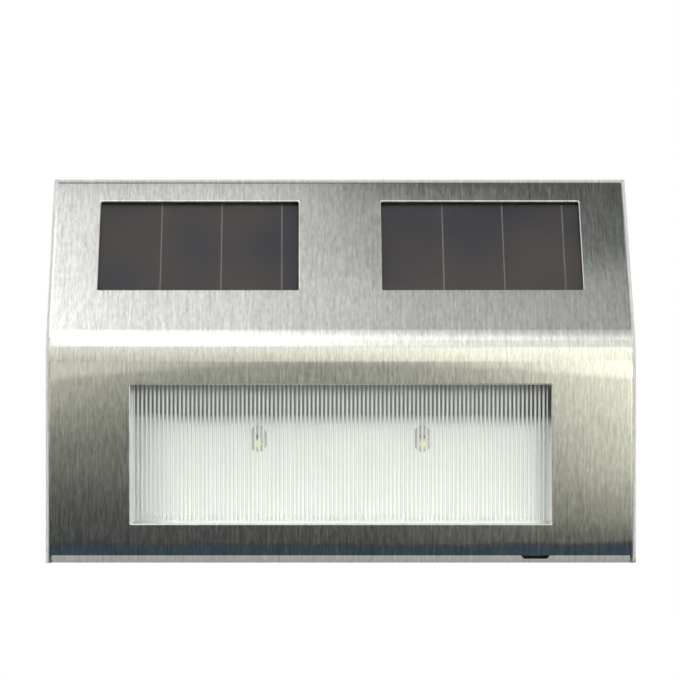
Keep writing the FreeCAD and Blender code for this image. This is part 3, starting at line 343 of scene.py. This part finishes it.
# The painted shade: grey mixed over the white where the tray lies in the window's shadow.
painted_shade = maths(tree, "MAXIMUM", top_wall_shade, maths(tree, "MAXIMUM", left_wall_shade, right_wall_shade))
shade_deepening = span(tree, z, shade_above, shade_above + shade_rise, 0, 1)
shade_grey = node(tree, "ShaderNodeVectorMath", operation="SCALE")
tree.links.new(blend_colour(tree, shade_deepening, shade_low_grey, shade_high_grey), shade_grey.inputs[0])
tree.links.new(right_end_shade, shade_grey.inputs["Scale"])
paint(tree, shader, painted_shade, colour, shade_grey.outputs["Vector"])
finish_node("reflector", tray)


# Ribbed lens
# Clear acrylic. The grooves moulded between the flat ribs on its back are frosted and catch the light.
# The plain border at its left end is frosted too, so the lamps light it as a strip: painted highlight for
# the lit left side.

def clear_plastic(name, colour, roughness, index, veil):
    """Glass-like shader that lets lamps through to what lies behind."""
    material, tree, shader = new_material(name)
    shader.inputs["Base Color"].default_value = (*colour, 1)
    shader.inputs["Transmission Weight"].default_value = 1.0
    shader.inputs["IOR"].default_value = index
    speck = noise(tree, place(tree), 900, 2)
    tree.links.new(spread(tree, speck, roughness, roughness * 2), shader.inputs["Roughness"])
    path = node(tree, "ShaderNodeLightPath")
    through = node(tree, "ShaderNodeBsdfTransparent")
    through.inputs["Color"].default_value = (*veil, 1)
    mixed = node(tree, "ShaderNodeMixShader")
    tree.links.new(path.outputs["Is Shadow Ray"], mixed.inputs["Fac"])
    tree.links.new(shader.outputs["BSDF"], mixed.inputs[1])
    tree.links.new(through.outputs["BSDF"], mixed.inputs[2])
    tree.links.new(mixed.outputs["Shader"], tree.nodes["Material Output"].inputs["Surface"])
    return material, tree, shader


rib_pitch = 0.001206
rib_count = 99
rib_field_half = rib_count * rib_pitch / 2
rib_field_low = -0.0440
rib_relief = 0.0006
rib_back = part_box("ribbed_lens")[1].y - rib_relief
border_gap = 0.0001
groove_share = 0.5
groove_blur = 0.06
clear_tint = (0.99, 0.995, 0.99)
frosted_tint = (0.70, 0.72, 0.71)
acrylic, tree, shader = clear_plastic("clear_acrylic", clear_tint, 0.01, 1.49, (0.93, 0.94, 0.93))
x, y, z = axes(tree, place(tree))
turn = maths(tree, "FRACT", maths(tree, "ADD", maths(tree, "DIVIDE", x, rib_pitch), 0.5 + rib_count / 2))
off_groove = maths(tree, "ABSOLUTE", maths(tree, "SUBTRACT", turn, 0.5))
frost = span(tree, off_groove, groove_share / 2 - groove_blur, groove_share / 2 + groove_blur, 1, 0)
inside_field = maths(tree, "LESS_THAN", maths(tree, "ABSOLUTE", x), rib_field_half)
above_border = maths(tree, "GREATER_THAN", z, rib_field_low)
for limit in (inside_field, above_border):
    frost = maths(tree, "MULTIPLY", frost, limit)
# Painted highlight: only the left border is frosted, so the lamps light it like the lit left side of the
# window.
lit_left_border_highlight = maths(tree, "LESS_THAN", x, -rib_field_half - border_gap)
on_back = maths(tree, "GREATER_THAN", y, rib_back)
frost = maths(tree, "MULTIPLY", maths(tree, "MAXIMUM", frost, lit_left_border_highlight), on_back)
paint(tree, shader, frost, clear_tint, frosted_tint)
tree.links.new(span(tree, frost, 0, 1, 1.0, 0.30), shader.inputs["Transmission Weight"])
tree.links.new(span(tree, frost, 0, 1, 0.01, 0.55), shader.inputs["Roughness"])
finish_node("ribbed_lens", acrylic)


# Diodes
# Clear epoxy domes moulded round tinned lead frames, with a drop of yellow phosphor on each cup. Near
# each tip a painted reflection is laid on the dome: a yellow spot for the drop seen enlarged, a dark
# patch above it for the cup's edge.

# Painted reflection on the dome: the yellow spot stands for the enlarged drop and the dark patch for the
# cup's edge seen through the epoxy.
drop_image_share = 0.26
drop_image_half_width = 0.0009
drop_image_half_height = 0.0010
edge_image_rise = 0.0021
edge_image_half_height = 0.0007
epoxy_tint = (0.97, 0.97, 0.97)
epoxy, tree, shader = clear_plastic("led_epoxy", epoxy_tint, 0.02, 1.54, (0.95, 0.95, 0.95))
led_low, led_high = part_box("led_lens_right")
drop_image_x = (led_low.x + led_high.x) / 2
drop_image_z = led_low.z + drop_image_share * (led_high.z - led_low.z)
x, y, z = axes(tree, place(tree))
from_middle = maths(tree, "SUBTRACT", maths(tree, "ABSOLUTE", x), drop_image_x)


def round_patch(height, half_width, half_height):
    """One inside a small ellipse on the dome, and zero outside it."""
    aside = maths(tree, "DIVIDE", from_middle, half_width)
    upward = maths(tree, "DIVIDE", maths(tree, "SUBTRACT", z, height), half_height)
    distance = maths(tree, "ADD", square(tree, aside), square(tree, upward))
    return span(tree, distance, 0.7, 1.3, 1, 0)


yellow = round_patch(drop_image_z, drop_image_half_width, drop_image_half_height)
dark = round_patch(drop_image_z + edge_image_rise, drop_image_half_width, edge_image_half_height)
body = blend_colour(tree, dark, epoxy_tint, (0.20, 0.21, 0.16))
paint(tree, shader, yellow, body, (0.92, 0.88, 0.40))
clearness = span(tree, maths(tree, "MAXIMUM", yellow, dark), 0, 1, 0.55, 0.1)
tree.links.new(clearness, shader.inputs["Transmission Weight"])

phosphor, tree, shader = new_material("yellow_phosphor")
shader.inputs["Roughness"].default_value = 0.6
paint(tree, shader, noise(tree, place(tree), 3000, 2), (0.80, 0.66, 0.05), (0.90, 0.80, 0.14))
for side in ("left", "right"):
    finish_node("led_lens_" + side, epoxy)
    finish_node("led_phosphor_" + side, phosphor)


# Solar panels
# Thin-film silicon behind float glass: dark brown cells, parted by scribed lines where the back sheet
# shows. The cells are laid a hair off the glass, so that the two faces don't share one place.

clear = (1.0, 1.0, 1.0)
glass = clear_plastic("panel_glass", clear, 0.08, 1.06, clear)[0]

film, tree, shader = new_material("silicon_film")
cloud = noise(tree, place(tree), 30, 1)
cloud_share = span(tree, cloud, 0.35, 0.65, 0, 1)
paint(tree, shader, cloud_share, (0.0270, 0.0268, 0.0310), (0.0385, 0.0348, 0.0330))
tree.links.new(spread(tree, cloud, 0.30, 0.36), shader.inputs["Roughness"])
shader.inputs["Specular IOR Level"].default_value = 0.02

backing, tree, shader = new_material("panel_backing")
shader.inputs["Roughness"].default_value = 0.5
paint(tree, shader, noise(tree, place(tree), 900, 2), (0.12, 0.105, 0.09), (0.16, 0.14, 0.12))

film_gap = 0.00002
slope_rise = 0.049
slope_run = 0.035
weld_distance = 0.000001
off_glass = film_gap * Vector((0, slope_rise, -slope_run)).normalized()
for side in ("left", "right"):
    finish_node("solar_glass_" + side, glass)
    finish_node("solar_backing_" + side, backing)
    shape = bmesh.new()
    shape.from_mesh(nodes["solar_cells_" + side].data)
    bmesh.ops.remove_doubles(shape, verts=shape.verts, dist=weld_distance)
    bmesh.ops.translate(shape, verts=shape.verts, vec=off_glass)
    for face in shape.faces:
        face.smooth = False
        face.material_index = 0
    mesh = bpy.data.meshes.new("silicon_cells_" + side)
    shape.to_mesh(mesh)
    shape.free()
    mesh.materials.append(film)
    laid = bpy.data.objects.new("silicon_cells_" + side, mesh)
    scene.collection.objects.link(laid)
    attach(laid, "housing")
    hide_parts("solar_cells_" + side)


# Foam tape and gasket
# Closed-cell foam, die cut, sticky on both faces. It seats the lens and the panels on the sheet, and
# seals the back plate to the frame.

foam_cell_depth = 0.00005
foam, tree, shader = new_material("foam_tape")
shader.inputs["Roughness"].default_value = 0.9
cells = noise(tree, place(tree), 4000, 2, 0.7)
paint(tree, shader, cells, (0.035, 0.035, 0.035), (0.07, 0.07, 0.07))
bump(tree, shader, maths(tree, "MULTIPLY", cells, foam_cell_depth))
for name in ("back_gasket", "lens_gasket", "solar_gasket_left", "solar_gasket_right"):
    finish_node(name, foam)


# Plated metal
# Zinc-plated screws, and nickel-plated contacts, leads and switch can, each faintly tarnished.
# The screws hold the back plate, the circuit board and the tray.

def plated(name, low, high, roughness, scale):
    """Plated metal, duller where it is tarnished."""
    material, tree, shader = new_material(name)
    shader.inputs["Metallic"].default_value = 1.0
    tarnish = noise(tree, place(tree), scale, 3)
    paint(tree, shader, tarnish, low, high)
    tree.links.new(spread(tree, tarnish, roughness, roughness * 1.6), shader.inputs["Roughness"])
    return material


zinc = plated("zinc_plate", (0.48, 0.49, 0.50), (0.62, 0.62, 0.60), 0.24, 500)
nickel = plated("nickel_plate", (0.60, 0.58, 0.52), (0.72, 0.70, 0.64), 0.16, 300)
for name in ("back_screws", "board_screws", "reflector_screws"):
    finish_node(name, zinc)
for name in ("battery_negative_contact", "battery_positive_contact", "battery_cap",
             "switch_body", "switch_pins", "led_leads_left", "led_leads_right"):
    finish_node(name, nickel)


# Battery, boards, their parts and the wires
# A sleeved cell in the tub, green laminate boards with moulded and lacquered parts soldered on, and
# vinyl-covered leads from board to board.

mottle_depth = 0.00001


def coloured(name, low, high, roughness, scale, coat=0.0):
    """Moulded, printed or lacquered surface with a faint mottle."""
    material, tree, shader = new_material(name)
    shader.inputs["Roughness"].default_value = roughness
    shader.inputs["Coat Weight"].default_value = coat
    mottle = noise(tree, place(tree), scale, 3)
    colour = paint(tree, shader, mottle, low, high)
    bump(tree, shader, maths(tree, "MULTIPLY", mottle, mottle_depth))
    return material, tree, shader, colour


def between(tree, value, low, high):
    """One where the value lies between two limits, and zero elsewhere."""
    above = maths(tree, "GREATER_THAN", value, low)
    return maths(tree, "MULTIPLY", above, maths(tree, "LESS_THAN", value, high))


ring_width = 0.0035
ring_inset = 0.003
ring_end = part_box("battery_can")[1].x - ring_inset
sleeve, tree, shader, colour = coloured("cell_sleeve", (0.06, 0.24, 0.10), (0.09, 0.32, 0.14),
                                        0.3, 120, 0.3)
x = axes(tree, place(tree))[0]
ring = between(tree, x, ring_end - ring_width, ring_end)
paint(tree, shader, ring, colour, (0.75, 0.76, 0.74))
finish_node("battery_can", sleeve)

laminate = coloured("circuit_laminate", (0.02, 0.15, 0.05), (0.03, 0.21, 0.08), 0.35, 400, 0.2)[0]
finish_node("circuit_board", laminate)
finish_node("led_board", laminate)
black_epoxy = coloured("black_epoxy", (0.018, 0.018, 0.018), (0.03, 0.03, 0.03), 0.55, 1500)[0]
finish_node("controller_chip", black_epoxy)

coil_low, coil_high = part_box("inductor")
flange = 0.001
turn_pitch = 0.0003
winding, tree, shader, colour = coloured("copper_winding", (0.30, 0.13, 0.06), (0.44, 0.20, 0.09),
                                         0.35, 1800)
y = axes(tree, place(tree))[1]
core = maths(tree, "SUBTRACT", 1.0, between(tree, y, coil_low.y + flange, coil_high.y - flange))
paint(tree, shader, core, colour, (0.05, 0.05, 0.055))
turns = maths(tree, "ABSOLUTE", maths(tree, "SINE", maths(tree, "MULTIPLY", y, math.pi / turn_pitch)))
bump(tree, shader, maths(tree, "MULTIPLY", turns, turn_pitch / 2))
finish_node("inductor", winding)

capacitor_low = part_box("capacitor")[0]
stripe_depth = 0.0022
rim_height = 0.0007
blue_sleeve, tree, shader, colour = coloured("capacitor_sleeve", (0.02, 0.02, 0.07), (0.03, 0.03, 0.10),
                                             0.3, 200, 0.3)
x, y, z = axes(tree, place(tree))
stripe = maths(tree, "LESS_THAN", x, capacitor_low.x + stripe_depth)
colour = paint(tree, shader, stripe, colour, (0.55, 0.56, 0.58))
rim = maths(tree, "LESS_THAN", y, capacitor_low.y + rim_height)
paint(tree, shader, rim, colour, (0.60, 0.60, 0.62))
tree.links.new(rim, shader.inputs["Metallic"])
finish_node("capacitor", blue_sleeve)

resistor_low, resistor_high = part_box("resistors")
lead_reach = 0.0014
band_width = 0.0005
body_start = resistor_low.x + lead_reach
body_length = resistor_high.x - resistor_low.x - 2 * lead_reach
lacquer, tree, shader, colour = coloured("resistor_lacquer", (0.45, 0.33, 0.18), (0.56, 0.42, 0.25),
                                         0.35, 900, 0.3)
x = axes(tree, place(tree))[0]
for share, band in ((0.2, (0.25, 0.05, 0.02)), (0.35, (0.02, 0.02, 0.02)),
                    (0.5, (0.5, 0.12, 0.02)), (0.8, (0.6, 0.4, 0.1))):
    start = body_start + share * body_length
    colour = paint(tree, shader, between(tree, x, start, start + band_width), colour, band)
bare = maths(tree, "SUBTRACT", 1.0, between(tree, x, body_start, resistor_high.x - lead_reach))
paint(tree, shader, bare, colour, (0.65, 0.64, 0.62))
tree.links.new(bare, shader.inputs["Metallic"])
finish_node("resistors", lacquer)

knob = coloured("switch_knob", (0.03, 0.03, 0.03), (0.05, 0.05, 0.05), 0.45, 1200)[0]
finish_node("switch_slider", knob)


def finish_leads(name, middle, pieces):
    """Vinyl-covered leads, black on the left of their middle and red on the right."""
    vinyl, tree, shader, colour = coloured(name, (0.42, 0.02, 0.02), (0.55, 0.03, 0.03), 0.4, 600)
    black_side = maths(tree, "LESS_THAN", axes(tree, place(tree))[0], middle)
    paint(tree, shader, black_side, colour, (0.02, 0.02, 0.02))
    for piece in pieces:
        finish_node(piece, vinyl)


finish_leads("wire_vinyl", 0.0, ("led_wires", "battery_wires"))
for side in ("left", "right"):
    low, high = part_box("solar_wires_" + side)
    finish_leads("panel_wire_" + side, (low.x + high.x) / 2, ("solar_wires_" + side,))


# Floor and surroundings
# A pale floor well below the light, which hangs on its wall screws, in a white room that is darker
# behind the camera.

floor_drop = 0.35
floor_half = 1.0
floor_white_share = 0.6
floor_mesh = bpy.data.meshes.new("floor")
shape = bmesh.new()
bmesh.ops.create_grid(shape, x_segments=1, y_segments=1, size=floor_half,
                      matrix=Matrix.Translation((0, 0, -floor_drop)))
shape.to_mesh(floor_mesh)
shape.free()
floor = bpy.data.objects.new("floor", floor_mesh)
scene.collection.objects.link(floor)
pale, tree, shader = new_material("pale_floor")
shader.inputs["Base Color"].default_value = (0.43, 0.43, 0.41, 1)
shader.inputs["Roughness"].default_value = 0.9
path = node(tree, "ShaderNodeLightPath")
white = node(tree, "ShaderNodeEmission")
mixed = node(tree, "ShaderNodeMixShader")
whitened = maths(tree, "MULTIPLY", path.outputs["Is Camera Ray"], floor_white_share)
tree.links.new(whitened, mixed.inputs["Fac"])
tree.links.new(shader.outputs["BSDF"], mixed.inputs[1])
tree.links.new(white.outputs["Emission"], mixed.inputs[2])
tree.links.new(mixed.outputs["Shader"], tree.nodes["Material Output"].inputs["Surface"])
floor_mesh.materials.append(pale)

world = bpy.data.worlds.new("studio")
scene.world = world
world.use_nodes = True
tree = world.node_tree
tree.nodes.clear()


def sky(tree, height, stops):
    """Colour of the room by the elevation in degrees at which it is seen."""
    ramp = node(tree, "ShaderNodeValToRGB")
    tree.links.new(span(tree, height, -1, 1, 0, 1), ramp.inputs["Fac"])
    elements = ramp.color_ramp.elements
    while len(elements) < len(stops):
        elements.new(0.5)
    for element, (elevation, colour) in zip(elements, stops):
        element.position = (1 + math.sin(math.radians(elevation))) / 2
        element.color = (*colour, 1)
    return ramp.outputs["Color"]


found = node(tree, "ShaderNodeTexCoord")
x, y, z = axes(tree, found.outputs["Generated"])
front_room = sky(tree, z, [
    (-90, (0.57, 0.58, 0.55)), (-28, (0.53, 0.54, 0.52)),
    (-22, (0.038, 0.068, 0.105)), (-6, (0.031, 0.055, 0.087)),
    (-4, (0.008, 0.010, 0.008)), (-1.5, (0.020, 0.020, 0.017)),
    (0, (0.42, 0.42, 0.39)), (4, (0.42, 0.42, 0.39)),
    (8, (0.80, 0.79, 0.68)), (25, (0.98, 0.98, 0.88)),
    (40, (1.05, 1.05, 0.98)), (52, (0.94, 0.95, 0.88)),
    (60, (0.50, 0.51, 0.48)), (68, (0.14, 0.15, 0.15)),
    (74, (0.03, 0.035, 0.035)), (90, (0.03, 0.035, 0.035))])
back_room = sky(tree, z, [
    (-90, (0.5, 0.5, 0.5)), (-10, (0.85, 0.85, 0.83)), (5, (1, 1, 1)),
    (52, (1, 1, 1)), (72, (0.85, 0.85, 0.83)), (90, (0.60, 0.61, 0.58))])
side_start = 0.65
side_full = 0.85
back_start = -0.12
back_full = 0.02
to_side = span(tree, maths(tree, "ABSOLUTE", x), side_start, side_full, 0, 1)
to_back = span(tree, y, back_start, back_full, 0, 1)
room = blend_colour(tree, to_back, blend_colour(tree, to_side, front_room, back_room), back_room)
lit = node(tree, "ShaderNodeBackground")
tree.links.new(room, lit.inputs["Color"])
plain = node(tree, "ShaderNodeBackground")
plain.inputs["Color"].default_value = (1, 1, 1, 1)
path = node(tree, "ShaderNodeLightPath")
mixed = node(tree, "ShaderNodeMixShader")
tree.links.new(path.outputs["Is Camera Ray"], mixed.inputs["Fac"])
tree.links.new(lit.outputs["Background"], mixed.inputs[1])
tree.links.new(plain.outputs["Background"], mixed.inputs[2])
tree.links.new(mixed.outputs["Shader"], node(tree, "ShaderNodeOutputWorld").inputs["Surface"])


# Studio cards
# White cards above the light and in front of it at its sides, which the brushed steel smears into its
# soft gradients, and a key lamp from the upper right that lights the tray through the lens.

def card(name, centre, size, target, brightness, tint=(1, 1, 1)):
    """Rectangular area lamp of a given brightness, aimed at a point."""
    data = bpy.data.lights.new(name, "AREA")
    data.shape = "RECTANGLE"
    data.size, data.size_y = size
    data.energy = brightness * size[0] * size[1] * math.pi
    data.color = tint
    lamp = bpy.data.objects.new(name, data)
    lamp.location = centre
    lamp.rotation_euler = (Vector(target) - lamp.location).to_track_quat("-Z", "Y").to_euler()
    lamp.visible_camera = False
    scene.collection.objects.link(lamp)
    return lamp


def standing_card(name, x_low, x_high, z_low, z_high, brightness):
    """Upright card in front of the light."""
    centre = Vector(((x_low + x_high) / 2, card_y, (z_low + z_high) / 2))
    card(name, centre, (x_high - x_low, z_high - z_low), centre + Vector((0, 1, 0)), brightness, warm)


def hanging_card(name, x_low, x_high, y_low, y_high, brightness):
    """Level card above the light."""
    centre = Vector(((x_low + x_high) / 2, (y_low + y_high) / 2, card_z))
    lamp = card(name, centre, (x_high - x_low, y_high - y_low), centre - Vector((0, 0, 1)), brightness)
    lamp.rotation_euler = (0, 0, 0)


card_y = -0.345
card_z = 0.25
warm = (1.0, 0.975, 0.80)
for name, x_low, x_high, z_low, z_high, brightness in (
        ("right_card_top", 0.098, 0.30, 0.0, 0.042, 2.5),
        ("right_card_upper", 0.100, 0.30, -0.020, 0.0, 1.7),
        ("right_card_lower", 0.100, 0.30, -0.045, -0.020, 1.32),
        ("right_card_foot", 0.100, 0.30, -0.062, -0.045, 0.75),
        ("left_card_top", -0.14, -0.082, 0.0, 0.024, 1.12),
        ("left_card_upper", -0.31, -0.100, -0.020, 0.0, 0.80),
        ("left_card_lower", -0.31, -0.100, -0.050, -0.020, 0.13),
        ("upper_right_card", 0.02, 0.30, 0.045, 0.200, 0.7)):
    standing_card(name, x_low, x_high, z_low, z_high, brightness)
for name, x_low, x_high, y_low, y_high, brightness in (
        ("hanging_left", -0.24, -0.12, -0.105, -0.06, 1.9),
        ("hanging_left_front", -0.24, -0.12, -0.19, -0.105, 2.55),
        ("hanging_middle", -0.12, 0.0, -0.15, -0.06, 0.9),
        ("hanging_front", -0.12, 0.0, -0.40, -0.15, 1.28),
        ("hanging_right", 0.0, 0.12, -0.26, -0.10, 0.45),
        ("hanging_right_back", 0.01, 0.06, -0.10, -0.074, 0.3)):
    hanging_card(name, x_low, x_high, y_low, y_high, brightness)

key_distance = 1.2
key_turn = math.radians(10)
key_rise = math.radians(31)
key_size = 0.34
key_brightness = 18.5
key_place = key_distance * Vector((math.sin(key_turn) * math.cos(key_rise),
                                   -math.cos(key_turn) * math.cos(key_rise),
                                   math.sin(key_rise)))
key = card("key_lamp", key_place, (key_size, key_size), (0, 0, 0), key_brightness)
key.visible_glossy = False


# Camera
# Level and square to the light, one metre in front of it and a little left of its middle.

camera_distance = 1.0
camera_x = -0.0115
camera_z = 0.008
frame_at_front = 0.1956
nudge_right = 0.0013
nudge_down = 0.0009
camera_data = bpy.data.cameras.new("camera")
camera_data.sensor_width = 36.0
camera_data.lens = camera_data.sensor_width * camera_distance / frame_at_front
camera_data.shift_x = -camera_x / frame_at_front - nudge_right
camera_data.shift_y = nudge_down
camera = bpy.data.objects.new("camera", camera_data)
camera.location = (camera_x, cad_low.y - camera_distance, camera_z)
camera.rotation_euler = (math.radians(90), 0, 0)
scene.collection.objects.link(camera)
scene.camera = camera
scene.view_settings.view_transform = "Standard"
